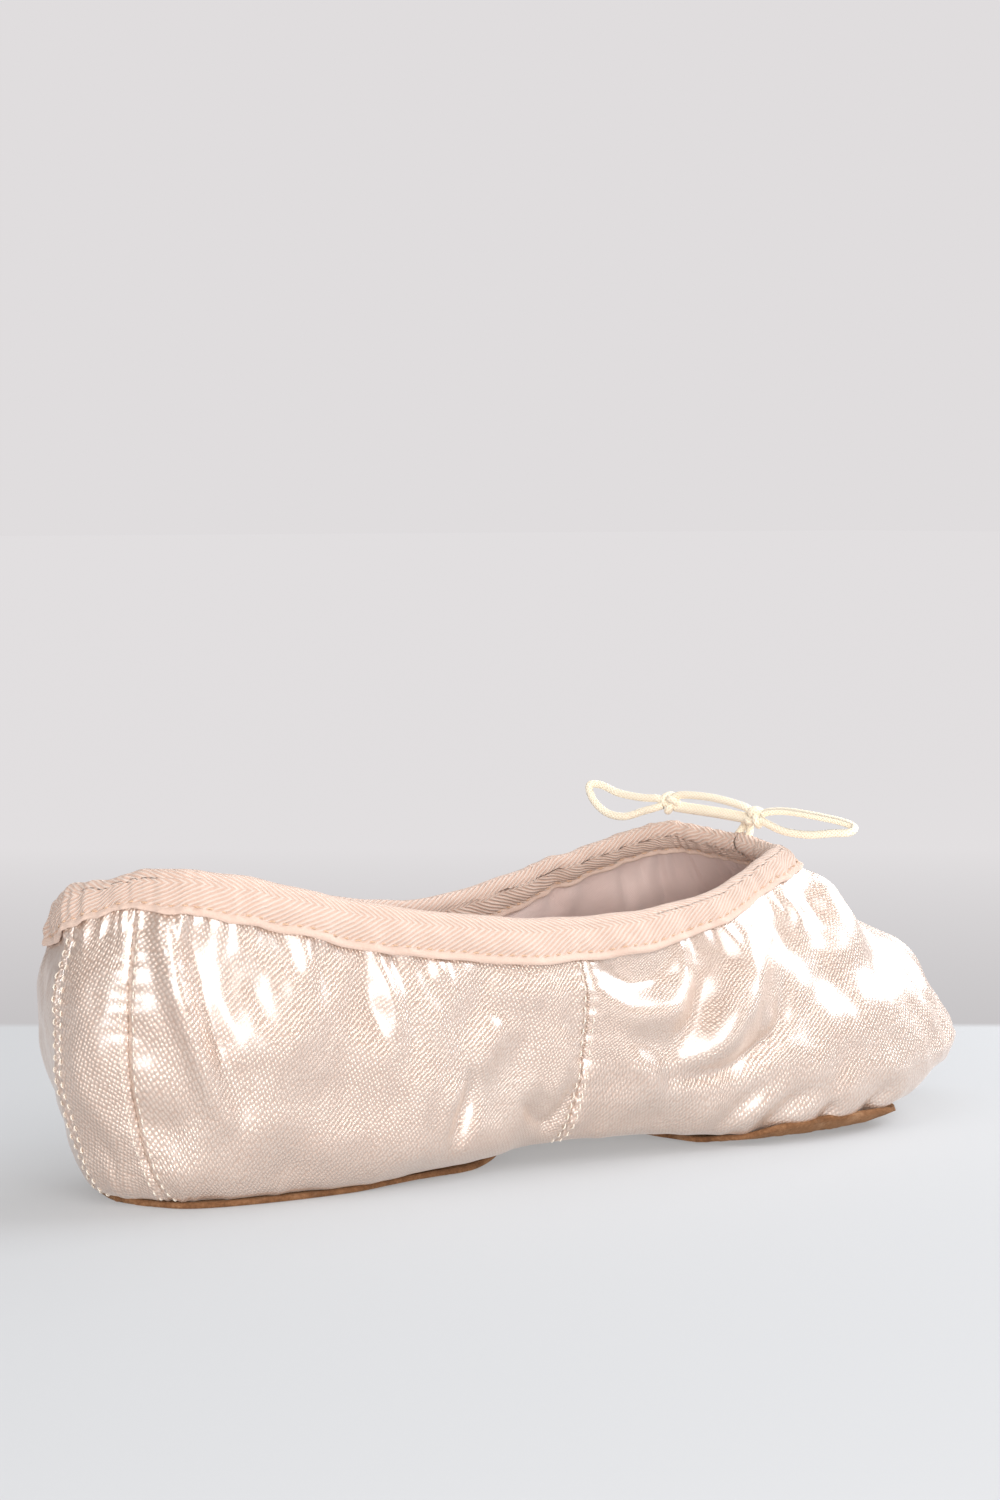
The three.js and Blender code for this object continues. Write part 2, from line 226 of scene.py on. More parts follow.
def spline(rows, along):
    """Catmull-Rom value of a table with one extra row at each end."""
    i = along.astype(int)
    t = (along - i)[..., None]
    a, b, c, d = (rows[i + k] for k in range(4))
    return 0.5 * (2 * b + t * (c - a + t * (2 * a - 5 * b + 4 * c - d + t * (3 * (b - c) + d - a))))


def ring_frames(path):
    """Tangent and two cross directions along a path, turning as little as possible."""
    tangent = unit(np.gradient(path, axis=0))
    across = np.empty_like(path)
    start = np.cross(tangent[0], [0.3, 0.2, 1])
    for i, direction in enumerate(tangent):
        start = start - direction * np.dot(start, direction)
        start = start / np.linalg.norm(start)
        across[i] = start
    return tangent, across, np.cross(tangent, across)


def round_tube(path, radius, sides=12):
    """Rings round a path."""
    path = np.asarray(path, dtype=float)
    _, across, upright = ring_frames(path)
    angle = np.linspace(0, 2 * np.pi, sides, endpoint=False)
    wide = across[:, None] * np.cos(angle)[None, :, None]
    high = upright[:, None] * np.sin(angle)[None, :, None]
    return path[:, None] + radius * (wide + high)


# ----- surface of the shoe -----

LAST = len(STATIONS) - 1
ROWS = np.vstack([STATIONS[1] * MIRRORED, STATIONS, STATIONS[LAST - 1] * MIRRORED])


def station(place):
    """The outline's row at a place: 0 at the heel's back, 1 at the toe's tip, negative round the right."""
    place = np.where(place > 1, place - 2, place)
    row = spline(ROWS, np.minimum(np.abs(place) * LAST, LAST - 1e-9))
    return np.where((place < 0)[..., None], row * MIRRORED, row)


def outward(place):
    before = station(place - 1e-3)
    after = station(place + 1e-3)
    return unit(np.stack([before[..., 1] - after[..., 1], after[..., 0] - before[..., 0]], axis=-1))


def sole_height(x):
    arch = np.cos(np.pi / 2 * np.minimum(np.abs(x) / ARCH_REACH, 1))
    return SOLE_HEIGHT + ARCH_RISE * arch**2 + TOE_SPRING * np.maximum(0, x - TOE_SPRING_FROM) ** 2


def wall(place, height):
    """The satin's outer face: -2 inner end of the tuck, -1 sole edge, 0 widest line, 1 topline."""
    x, y, z, edge, inset, top_x, top_y, top_z, twist, bulge = np.moveaxis(station(place), -1, 0)
    out = outward(place)
    turned = np.clip(-1 - height, 0, 1.5)
    roll = np.pi / 2 * np.clip(1 + height, 0, 1)
    bare = np.clip((BARE_FROM - np.abs(x)) / BARE_FADE, 0, 1)
    tuck = TUCK + (np.abs(y) - inset - TUCK - TUCK_GAP) * bare * bare * (3 - 2 * bare)
    depth = np.where(height < 0, inset * (1 - np.sin(roll)) + tuck * turned, 0)
    x_in, y_in = x - out[..., 0] * depth, y - out[..., 1] * depth
    side = edge + (z - edge) * (1 - np.cos(roll))
    under = edge + (sole_height(x_in) - edge) * turned
    lean = np.clip(height, 0, None) ** bulge
    return np.stack([
        np.where(height < 0, x_in, x + (top_x - x) * lean),
        np.where(height < 0, y_in, y + (top_y - y) * lean),
        np.where(height < -1, under, np.where(height < 0, side, z + (top_z + twist - z) * height)),
    ], axis=-1)


def wall_frame(place, height, step=2e-3):
    """Directions up the wall, along it and out of it."""
    height = np.clip(height, step - 2.4, None)
    up = unit(wall(place, height + step) - wall(place, height - step))
    along = unit(wall(place + step, height) - wall(place - step, height))
    return up, along, unit(np.cross(up, along))


def strip_right(height):
    """The back strip's right seam, which swings forward towards the sole and a little towards the top."""
    return STRIP_RIGHT - 0.075 * np.clip(-height - 0.1, 0, 0.9) ** 2 - 0.014 * np.clip(height, 0, 1) ** 2


def strip_left(height):
    return STRIP_LEFT - 0.02 * np.clip(height, 0, 1) ** 2 + 0.01 * np.clip(-height, 0, 1) ** 2


def side_seam(height):
    return SIDE_SEAM + 0.006 * np.clip(height, -1, 1)


def side_seam_right(height):
    return -side_seam(height)


def side_seam_round(height):
    """The right side seam, reached from the left one round the toe."""
    return 2 - side_seam(height)


def stretch_at(place, height):
    """Millimetres of outline per unit of place."""
    return np.linalg.norm(wall(place + 1e-3, height) - wall(place - 1e-3, height), axis=1) / 2e-3


# ----- folds of the satin -----

# Folds seen on the shoe's right side: points as (distance along the outline, height),
# width and rise in mm, and how deep a hollow follows the ridge on its toe side.
FOLDS = [
    ([(.166, .80), (.176, .60), (.187, .34), (.206, .05), (.222, -.13), (.240, -.28)], 2.6, 1.6, 0.6),
    ([(.255, .62), (.262, .30), (.270, .02)], 7.0, -0.2, 0.0),
    ([(.300, .82), (.303, .66), (.304, .52)], 2.2, 0.7, 0.6),
    ([(.352, .82), (.356, .58), (.360, .36), (.362, .20)], 2.4, 0.9, 0.7),
    ([(.392, .80), (.396, .62)], 2.2, 0.6, 0.5),
    ([(.428, .66), (.446, .56), (.462, .50)], 3.6, 0.8, 0.4),
    ([(.432, .36), (.422, .14), (.414, -.04)], 4.6, 0.9, 0.6),
    ([(.414, -.06), (.408, -.28), (.401, -.52)], 2.2, -1.1, 0.0),
    ([(.403, -.04), (.398, -.28)], 3.0, 0.6, 0.0),
    ([(.452, -.30), (.466, -.50), (.474, -.66)], 1.7, -0.9, -0.6),
    ([(.482, -.20), (.476, -.42), (.470, -.62)], 1.4, -0.7, -0.5),
    ([(.470, .30), (.474, .02), (.470, -.22)], 2.4, 0.6, 0.4),
    ([(.498, .60), (.514, .40), (.534, .34), (.556, .44), (.574, .62)], 4.0, 1.3, 0.0),
    ([(.506, .74), (.526, .60), (.546, .60), (.562, .74)], 2.8, -0.8, 0.0),
    ([(.582, .80), (.576, .56), (.566, .30), (.552, .10)], 3.4, -1.2, 0.0),
    ([(.640, .86), (.622, .62), (.600, .38), (.578, .12), (.560, -.08)], 5.8, 2.3, 0.0),
    ([(.546, -.16), (.578, -.08), (.606, .05), (.634, .22), (.648, .46)], 2.4, -1.3, 0.0),
    ([(.512, .10), (.530, -.10), (.540, -.34)], 3.0, 0.8, 0.6),
    ([(.704, .96), (.694, .84), (.686, .72)], 1.7, 1.0, 0.0),
    ([(.738, .94), (.726, .78), (.700, .60)], 3.6, -1.1, 0.0),
    ([(.776, .92), (.762, .70), (.746, .52)], 4.2, 0.8, 0.4),
    ([(.800, .34), (.816, .08), (.812, -.20)], 3.6, 0.5, 0.6),
    ([(.846, .34), (.856, .10), (.852, -.12)], 3.4, 0.4, 0.5),
    ([(.592, -.58), (.606, -.34), (.622, -.20)], 2.2, -0.8, 0.4),
    ([(.628, -.60), (.640, -.40), (.660, -.26)], 2.2, -0.7, 0.4),
    ([(.668, -.60), (.684, -.42)], 2.0, -0.7, 0.4),
    ([(.712, -.60), (.726, -.40), (.744, -.28)], 2.4, -0.7, 0.4),
]

# Where the cloth is fuller (or slacker) than the plain surface, on both sides:
# place, height, reach of each, mm.
FULLNESS = [
    (0.93, 0.45, 0.12, 0.55, -2.0),
    (0.88, -0.10, 0.075, 0.45, -2.0),
    (0.80, -0.85, 0.07, 0.35, -2.0),
    (0.04, -0.52, 0.07, 0.30, -1.8),
    (0.25, 0.25, 0.05, 0.45, 0.2),
    (0.66, -0.35, 0.08, 0.25, 0.6),
    (0.40, -0.50, 0.06, 0.22, 0.7),
    (0.03, 1.0, 0.05, 0.35, -0.5),
    (0.11, 1.0, 0.07, 0.40, -2.6),
    (0.11, -0.30, 0.06, 0.50, -1.5),
]

# The cloth's own unevenness: rise and wavelength in mm, seed.
RIPPLES = [(0.85, 34, 1), (0.40, 15, 2), (0.09, 6, 3)]

FOLD_STRENGTH = 1.9  # how much deeper the seen side's folds are built than drawn
PUCKERS = 150  # small gathers hanging from the binding
PLEATS = 120  # gathers running under the sole edge


def fold_lines():
    """Every fold as places, heights, width, rise and hollow. The left side has its own milder set."""
    dice = np.random.default_rng(11)
    lines = []
    for points, width, rise, hollow in FOLDS:
        place, height = np.array(points).T
        lines.append((-place, height, width, FOLD_STRENGTH * rise, hollow))
    for points, width, rise, hollow in FOLDS:
        if dice.random() < 0.75:
            points = np.array(points) + [dice.normal(0, 0.014), dice.normal(0, 0.05)]
            lines.append((points[:, 0], points[:, 1], width * dice.uniform(0.9, 1.3), rise * 0.8, hollow))
    for centre in (0.93, 0.975, 1.02, 1.07, 1.11):
        height = dice.uniform(0.1, 0.5)
        bend = dice.normal(0, 0.01, 3)
        lines.append((centre + bend, height + np.array([0.3, 0.05, -0.25]), dice.uniform(2.4, 4), 0.6, 0.4))
    for centre in (-0.09, -0.045, 0.0):
        bend = dice.normal(0, 0.006, 3)
        lines.append((centre + bend, np.array([0.6, 0.1, -0.3]), dice.uniform(2.5, 4), 0.45, 0.5))
    return lines


FOLD_LINES = fold_lines()


def ridge(points, normals, line, width, rise, hollow):
    """Height of one fold at each point: a ridge along a surface line, with a hollow on one side."""
    path = smooth(wall(line[0], line[1]), 36)
    low, high = path.min(axis=0) - 4 * width, path.max(axis=0) + 4 * width
    near = np.nonzero(np.all((points > low) & (points < high), axis=1))[0]
    height = np.zeros(len(points))
    if len(near) == 0:
        return height
    gap = points[near, None] - path[None]
    nearest = np.argmin(np.einsum("ijk,ijk->ij", gap, gap), axis=1)
    offset = gap[np.arange(len(near)), nearest]
    tangent = unit(np.gradient(path, axis=0))[nearest]
    side = unit(np.cross(normals[near], tangent))
    across = np.einsum("ij,ij->i", offset, side)
    beyond = np.einsum("ij,ij->i", offset, tangent)
    across = across * np.sign(side @ [1.0, 0, 0] + 1e-9)
    share = nearest / (len(path) - 1)
    fade = np.sin(np.pi * np.clip(share * 0.86 + 0.07, 0, 1)) ** 0.7 * bump(beyond, 0, width)
    profile = bump(across, 0, width) - hollow * 0.6 * bump(across, 1.7 * width, width)
    height[near] = rise * fade * profile
    return height


def ripples(points, wavelength, seed, count=22):
    """A smooth random field, about -1 to 1, made of plane waves."""
    dice = np.random.default_rng(seed)
    waves = unit(dice.normal(size=(count, 3))) * (2 * np.pi / wavelength) * dice.uniform(0.7, 1.4, (count, 1))
    phase = dice.uniform(0, 2 * np.pi, count)
    return np.cos(points @ waves.T + phase).sum(axis=1) / np.sqrt(count)


def bump(value, centre, reach):
    return np.exp(-(((value - centre) / reach) ** 2))


def gathers(place, height):
    """Short puckers below the binding, and pleats where the satin turns under the sole."""
    dice = np.random.default_rng(5)
    total = np.zeros_like(place)
    for centre in np.sort(dice.uniform(-1, 1, PUCKERS)):
        reach, rise = dice.uniform(0.004, 0.009), dice.uniform(0.35, 1.15)
        length = dice.uniform(0.12, 0.42)
        lean = dice.normal(0, 0.02)
        gap = (place - centre - lean * (1 - height) + 1) % 2 - 1
        fade = np.clip(1 - np.clip(0.86 - height, 0, None) / length, 0, 1) ** 2
        total += rise * fade * bump(gap, 0, reach)
    for centre in np.sort(dice.uniform(-1, 1, PLEATS)):
        reach, rise = dice.uniform(0.004, 0.008), dice.uniform(0.3, 0.8)
        top = dice.uniform(-0.72, -0.45)
        gap = (place - centre + 1) % 2 - 1
        fade = np.clip((top - height) / 0.4, 0, 1)
        total += rise * fade * bump(gap, 0, reach)
    return total - 0.3 * np.clip((height - 0.5) / 0.4, 0, 1) - 0.25 * np.clip((-0.5 - height) / 0.4, 0, 1)


def seam_groove(place, height, stretch):
    """The cloth dips along a seam and puckers beside it."""
    total = np.zeros_like(place)
    for number, seam in enumerate((strip_right, strip_left, side_seam, side_seam_right)):
        gap = ((place - seam(height) + 1) % 2 - 1) * stretch
        pucker = np.cos(height * 46 + number) * np.cos(height * 17 + 2 * number)
        total += -0.75 * bump(gap, 0, 0.7) + 0.22 * pucker * bump(gap, 0, 3.2)
    return total


def relief(place, height):
    """How far the satin stands out from the plain surface, in mm."""
    shape = np.broadcast(place, height).shape
    place, height = (np.broadcast_to(v, shape).ravel().astype(float) for v in (place, height))
    points = wall(place, height)
    normals = wall_frame(place, height)[2]
    stretch = stretch_at(place, height)
    total = sum(rise * ripples(points, wavelength, seed) for rise, wavelength, seed in RIPPLES)
    for x, y, width, rise, hollow in FOLD_LINES:
        total += ridge(points, normals, (x, y), width, rise, hollow)
    wrapped = np.abs((place + 1) % 2 - 1)
    total += gathers(place, height) + seam_groove(place, height, stretch)
    calm = np.clip((-0.55 - height) / 0.45, 0, 1)
    pressed = np.clip((height - 0.80) / 0.14, 0, 1)
    total *= (1 - 0.85 * calm) * (1 - 0.8 * pressed)
    for centre, level, reach, rise_reach, rise in FULLNESS:
        total += rise * bump(wrapped, centre, reach) * bump(height, level, rise_reach)
    return total.reshape(shape)


def cloth_grid(first, last, cols, low, high, rows):
    """Places and heights of a grid between two seams, each a function of height."""
    height = np.linspace(low, high, rows)[None, :]
    share = np.linspace(0, 1, cols)[:, None]
    place = first(height) + (last(height) - first(height)) * share
    return place, np.broadcast_to(height, place.shape)


def flat_cloth(points):
    """Distances along and up the cloth, in mm, for its weave."""
    along = np.linalg.norm(np.diff(points, axis=0), axis=2).mean(axis=1)
    up = np.linalg.norm(np.diff(points, axis=1), axis=2).mean(axis=0)
    u = np.concatenate([[0], np.cumsum(along)])[:, None]
    v = np.concatenate([[0], np.cumsum(up)])[None, :]
    shape = points.shape[:2]
    return np.stack([np.broadcast_to(u, shape), np.broadcast_to(v, shape)], axis=-1)


def satin_piece(name, first, last, cols, rows):
    place, height = cloth_grid(first, last, cols, -2, 1, rows)
    base = wall(place, height)
    normal = wall_frame(place, height)[2]
    outer = base + normal * relief(place, height)[..., None]
    return shell(name, outer, outer - normal * SATIN, flat_cloth(base))


def lining_piece(name, first, last, cols, rows):
    place, height = cloth_grid(first, last, cols, -0.86, 0.99, rows)
    base = wall(place, height)
    normal = wall_frame(place, height)[2]
    slack = relief(place, height) - 0.25 * np.abs(ripples(base.reshape(-1, 3), 9, 8)).reshape(place.shape)
    outer = base + normal * (slack - LINING_DEPTH)[..., None]
    return shell(name, outer, outer - normal * LINING, flat_cloth(base))


# ----- the binding -----


def rim_point(place, depth, rise):
    """A point of the binding's section: depth in from the satin's face, rise above the topline."""
    length = np.linalg.norm(wall(place, np.ones_like(place)) - wall(place, np.zeros_like(place)), axis=-1)
    height = 1 + np.minimum(rise, 0) / length
    up, _, normal = wall_frame(place, np.minimum(height, UNDER_RIM))
    lift = np.maximum(rise, 0)[..., None] * up
    return wall(place, height) - normal * depth[..., None] + lift, height


def rim_lift(place):
    """The binding stands a little higher behind the heel, and is slightly wavy."""
    wrapped = (place + 1) % 2 - 1
    wave = 0.12 * np.sin(wrapped * 84 + 1.3 * np.sin(wrapped * 31)) + 0.08 * np.sin(wrapped * 143 + 2)
    heel = 0.6 * bump(wrapped, -0.12, 0.10) + 3.3 * bump(wrapped, 0.0, 0.06)
    return heel + 1.0 * bump(wrapped, -0.68, 0.05) + wave * np.clip((1 - np.abs(wrapped)) / 0.08, 0, 1)


def tape_face(place, along, inner):
    """One face of the folded tape; along runs over the fold, from the outer lip (negative) to the inner."""
    radius = FOLD_RADIUS + TAPE
    quarter = radius * np.pi / 2
    wrapped = (place + 1) % 2 - 1
    leg = TAPE_LEG - 1.5 * bump(wrapped, -0.12, 0.10) - 1.8 * bump(wrapped, -0.08, 0.05)
    leg = leg - 2.8 * bump(np.abs(wrapped), 0.66, 0.11) - 2.4 * bump(np.abs(wrapped), 0.86, 0.13)
    leg = leg + 0.16 * np.sin(wrapped * 67) + 0.10 * np.sin(wrapped * 171)
    reach = quarter + FOLD_RISE + TAPE_LEG
    s = along * np.where(np.abs(along) > quarter, (quarter + FOLD_RISE + leg) / reach, 1)
    turn = np.clip(s / radius, -np.pi / 2, np.pi / 2)
    below = np.maximum(np.abs(s) - quarter, 0)
    beat = 0.5 + 0.5 * np.cos(2 * np.pi * wrapped * 250 / STITCH_PITCH)
    dent = -(0.30 + 0.28 * beat) * bump(np.abs(along), TAPE_STITCH, 0.65)
    roll = 0.05 * bump(np.abs(along), 10.2, 0.6) + 0.20 * bump(np.abs(along), 6.4, 1.4)
    pinch = 0.22 * np.sin(wrapped * 205 + 2.0 * np.sin(wrapped * 47)) * bump(np.abs(along), 6.0, 2.6)
    proud = dent + roll + pinch - (TAPE if inner else 0) * np.ones_like(s)
    tip = np.clip((np.abs(along) - reach + 0.5) / 0.5, 0, 1)
    proud = proud + (0.3 if inner else -0.3) * tip**2
    depth = FOLD_DEPTH + (radius + proud) * np.sin(turn)
    rise = FOLD_RISE + (radius + proud) * np.cos(turn) - below + rim_lift(place)
    return rim_point(place, depth, rise)


def add_binding():
    places = np.linspace(-1 + THROAT_GAP, 1 - THROAT_GAP, 680)
    reach = (FOLD_RADIUS + TAPE) * np.pi / 2 + FOLD_RISE + TAPE_LEG
    along = np.linspace(-reach, reach, TAPE_COLS)
    place, s = np.meshgrid(places, along, indexing="ij")
    outer, height = tape_face(place, s, False)
    inner, _ = tape_face(place, s, True)
    normal = wall_frame(place, np.minimum(height, UNDER_RIM))[2]
    follow = relief(place, np.minimum(height, 1))[..., None] * normal
    u = distance(outer[:, TAPE_COLS // 2])
    cloth = np.stack(np.broadcast_arrays(u[:, None], s), axis=-1)
    return shell("binding_tape", outer + follow, inner + follow, cloth)


# ----- stitches -----


def stitch_mesh(name, starts, ends, normals, radius, sink=0.25):
    """Short threads that dive into the cloth at both ends, joined in one mesh."""
    sides, stops = 7, np.linspace(0, 1, 7)
    points, faces, cloth = [], [], []
    for start, end, normal in zip(starts, ends, normals):
        along = unit(end - start)
        across = np.cross(normal, along)
        arch = np.sin(np.pi * stops) ** 0.6 * (radius * 1.1) - sink * (1 - np.sin(np.pi * stops))
        middle = start + (end - start) * stops[:, None] + normal * arch[:, None]
        thick = radius * (0.55 + 0.45 * np.sin(np.pi * stops) ** 0.5)
        angle = np.linspace(0, 2 * np.pi, sides, endpoint=False)
        rings = middle[:, None] + thick[:, None, None] * (
            across * np.cos(angle)[None, :, None] + normal * np.sin(angle)[None, :, None])
        more, quads_here = tube(rings)
        shift = len(points) * len(more)
        points.append(more)
        faces += [[corner + shift for corner in face] for face in quads_here]
        length = np.linalg.norm(end - start)
        turn, run = np.meshgrid(angle * radius, stops * length)
        cloth.append(np.stack([run, turn], axis=-1).reshape(-1, 2))
    return make(name, np.concatenate(points), faces, np.concatenate(cloth), turn_out=False)


def satin_at(place, height):
    """Points on the finished satin, and its normals."""
    normal = wall_frame(place, height)[2]
    return wall(place, height) + normal * relief(place, height)[..., None], normal


def seam_stitches(name, seam, shift, high):
    """One row of stitches beside a seam, shift mm to one side of it."""
    heights = np.linspace(SEAM_FOOT, high, 400)
    places = seam(heights) + shift / stretch_at(seam(heights), heights)
    line, normals = satin_at(places, heights)
    run = distance(line)
    begin = np.arange(0.5, run[-1] - SEAM_STITCH, SEAM_PITCH)
    starts, ends = points_at(begin, run, line), points_at(begin + SEAM_STITCH, run, line)
    return stitch_mesh(name, starts, ends, unit(points_at(begin, run, normals)), SEAM_THREAD_RADIUS)


def binding_stitches(name, side):
    """The row that holds one leg of the binding, on the outside (-1) or the inside (1)."""
    places = np.linspace(-1 + THROAT_GAP + 0.004, 1 - THROAT_GAP - 0.004, 5000)
    s = np.full_like(places, side * TAPE_STITCH)
    line, height = tape_face(places, s, False)
    normal = wall_frame(places, np.minimum(height, UNDER_RIM))[2]
    line = line + normal * relief(places, height)[:, None]
    run = distance(line)
    begin = np.arange(0.5, run[-1] - 2, STITCH_PITCH)
    starts, ends = points_at(begin, run, line), points_at(begin + STITCH_LENGTH, run, line)
    facing = unit(points_at(begin, run, normal)) * -side
    return stitch_mesh(name, starts, ends, facing, THREAD_RADIUS, sink=0.3)


# ----- sole and insole -----


def section_across(place, edge_height):
    """The underside's outline across the shoe at one place, from the right wall to the left one."""
    heights = np.linspace(edge_height, -1, 14)
    left = wall(np.full(14, place), heights)
    offset = np.linspace(2.0, 1.6, 14)[:, None] * wall_frame(np.full(14, place), heights)[2]
    left = left + offset
    left[:, 2] = np.maximum(left[:, 2], 0)
    right = left * [1, -1, 1]
    middle = np.linspace(right[-1], left[-1], 24)[1:-1]
    floor = np.maximum(0, sole_height(middle[:, 0]) - 2.1)
    blend = np.clip((np.abs(left[-1, 1]) - np.abs(middle[:, 1])) / 4, 0, 1)
    middle[:, 2] = middle[:, 2] * (1 - blend) + floor * blend
    whole = np.concatenate([right, middle, left[::-1]])
    run = distance(whole)
    return whole, run - run[-1] / 2


def suede_pad(name, start, end, edge_height, corner):
    """A thin suede sole patch with round ends, whose sides wrap up the sole's edge."""
    rows, cols = 90, 61
    share = np.linspace(-0.494, 0.494, rows)
    along = np.sin(share * np.pi)
    places = start + (end - start) * (along + 1) / 2
    outline = (1 - np.abs(along) ** corner) ** (1 / corner)
    across = np.linspace(-1, 1, cols)
    outer = np.empty((rows, cols, 3))
    for i, place in enumerate(places):
        whole, run = section_across(float(place), edge_height)
        outer[i] = points_at(across * run[-1] * outline[i], run, whole)
    along_x = unit(np.gradient(outer, axis=0))
    along_y = unit(np.gradient(outer, axis=1))
    normal = unit(np.cross(along_x, along_y))
    normal *= np.sign(normal[..., 2:3] + 1e-9)
    nap = 0.10 * ripples(outer.reshape(-1, 3), 5, 21) + 0.06 * ripples(outer.reshape(-1, 3), 2.2, 22)
    rim = np.abs(across)[None, :] ** 10
    swell = nap.reshape(rows, cols) * (1 - rim)
    top = outer + normal * 1.2
    outer = outer - normal * (swell - 0.12)[..., None]
    outer[..., 2] = np.maximum(outer[..., 2], 0)
    return shell(name, outer, top, flat_cloth(outer))


def insole():
    """The cotton sock lining, slightly crowned, from heel to toe."""
    rows, cols = 150, 49
    places = 0.5 - 0.485 * np.cos(np.linspace(0, np.pi, rows))
    row = station(places)
    out = outward(places)
    side = row[:, :2] - out * (row[:, 4:5] + 0.3)
    floor = np.maximum(row[:, 3], sole_height(side[:, 0])) + LINING_DEPTH + LINING + 0.3
    across = np.linspace(-1, 1, cols)
    x = np.broadcast_to(side[:, :1], (rows, cols))
    y = side[:, 1:] * across
    points = np.stack([x, y, np.zeros_like(y)], axis=-1)
    wrinkle = 0.18 * ripples(points.reshape(-1, 3), 14, 31) + 0.08 * ripples(points.reshape(-1, 3), 5, 32)
    crown = 1.0 * (1 - across**4) + 0.6 * np.abs(across) ** 6
    bottom, top = points.copy(), points.copy()
    bottom[..., 2] = floor[:, None]
    top[..., 2] = bottom[..., 2] + (0.5 + crown + wrinkle.reshape(x.shape))
    return shell("insole", top, bottom, flat_cloth(top))


# ----- drawstring, bow -----


def braid_tube(name, path, radius, sides=14):
    """A cord of braided cotton: a tube whose surface swells and dips with the crossing strands."""
    rings = round_tube(path, radius, sides)
    run = distance(path)
    angle = np.linspace(0, 2 * np.pi, sides, endpoint=False)
    wave = np.cos(3 * angle[None, :] + run[:, None] * 2.6) * np.cos(3 * angle[None, :] - run[:, None] * 2.6)
    centre = np.asarray(path)[:, None]
    rings = centre + (rings - centre) * (1 + 0.03 * wave[..., None])
    points, faces = tube(rings)
    turn, along = np.meshgrid(angle * radius, run)
    return make(name, points, faces, np.stack([along, turn], axis=-1), turn_out=False)


def knot(name, centre, turn, size):
    """A small overhand knot, pulled tight."""
    t = np.linspace(0, 2 * np.pi, 150)
    x, y, z = np.sin(t) + 2 * np.sin(2 * t), np.cos(t) - 2 * np.cos(2 * t), -1.5 * np.sin(3 * t)
    loop = np.stack([x, y, z], axis=1)
    c, s = np.cos(turn), np.sin(turn)
    loop = loop @ np.array([[c, -s, 0], [s, c, 0], [0, 0, 1]]).T
    path = np.array(centre) + loop[:, [2, 0, 1]] * size
    rings = round_tube(path, 0.86, 12)[:-1]
    points, faces = tube(rings, closed=True)
    run = np.broadcast_to((t[:-1] * 3.2)[:, None], (149, 12))
    around = np.broadcast_to(np.linspace(0, 5.3, 12), (149, 12))
    return make(name, points, faces, np.stack([run, around], axis=-1), turn_out=False)


def add_drawstring():
    places = np.linspace(-1 + THROAT_GAP, 1 - THROAT_GAP, 420)
    path, _ = rim_point(places, np.full_like(places, FOLD_DEPTH), FOLD_RISE + rim_lift(places))
    normal = wall_frame(places, np.full_like(places, UNDER_RIM))[2]
    path += relief(places, np.ones_like(places))[:, None] * normal
    path = smooth(np.concatenate([DRAWSTRING_START, path[6:-6], DRAWSTRING_END]), 620)
    return braid_tube("drawstring", path, CORD_RADIUS)


# ----- materials -----


class Look:
    """One node material, built a step at a time on a Principled shader."""

    def __init__(self, name, **settings):
        self.material = bpy.data.materials.new(name)
        self.material.use_nodes = True
        self.tree = self.material.node_tree
        self.shader = self.tree.nodes["Principled BSDF"]
        for key, value in settings.items():
            self.shader.inputs[key.replace("_", " ")].default_value = value

    def feed(self, socket, value):
        if isinstance(value, bpy.types.NodeSocket):
            self.tree.links.new(value, socket)
        else:
            socket.default_value = value

    def add(self, kind, inputs, out=0, **settings):
        node = self.tree.nodes.new(kind)
        for key, value in settings.items():
            setattr(node, key, value)
        for key, value in inputs.items():
            self.feed(node.inputs[key], value)
        return node.outputs[out]

    def math(self, operation, a, b=0.0, c=0.0):
        return self.add("ShaderNodeMath", {0: a, 1: b, 2: c}, operation=operation)

    def cloth(self):
        """The flat cloth's two distances in mm."""
        flat = self.add("ShaderNodeUVMap", {}, uv_map="cloth")
        return flat, *self.split(flat)

    def split(self, vector):
        node = self.tree.nodes.new("ShaderNodeSeparateXYZ")
        self.tree.links.new(vector, node.inputs[0])
        return node.outputs[0], node.outputs[1]

    def place(self):
        return self.add("ShaderNodeTexCoord", {}, out=3)

    def turned(self, vector, angle, scale):
        return self.add("ShaderNodeMapping", {"Vector": vector, "Rotation": (0, 0, angle), "Scale": scale})

    def noise(self, vector, scale, detail=3.0, rough=0.5):
        inputs = {"Vector": vector, "Scale": scale, "Detail": detail, "Roughness": rough}
        return self.add("ShaderNodeTexNoise", inputs)

    def ramp(self, value, stops):
        node = self.tree.nodes.new("ShaderNodeValToRGB")
        points = node.color_ramp.elements
        while len(points) < len(stops):
            points.new(0.5)
        for point, (where, colour) in zip(points, stops):
            point.position, point.color = where, (*colour, 1)
        self.tree.links.new(value, node.inputs[0])
        return node.outputs[0]

    def mix(self, share, a, b):
        return self.add("ShaderNodeMix", {0: share, 6: a, 7: b}, out=2, data_type="RGBA")

    def shades(self, value, low, high, start=0.0, end=1.0):
        """value, from start to end, becomes low to high."""
        return self.add("ShaderNodeMapRange", {0: value, 1: start, 2: end, 3: low, 4: high})

    def bumps(self, *layers):
        """Bump layers as (height, distance in mm, strength), stacked on each other."""
        normal = None
        for height, distance, strength in layers:
            inputs = {"Height": height, "Distance": distance * MM, "Strength": strength}
            if normal is not None:
                inputs["Normal"] = normal
            normal = self.add("ShaderNodeBump", inputs)
        self.feed(self.shader.inputs["Normal"], normal)

    def finish(self, colour, roughness):
        self.feed(self.shader.inputs["Base Color"], colour)
        self.feed(self.shader.inputs["Roughness"], roughness)
        return self.material


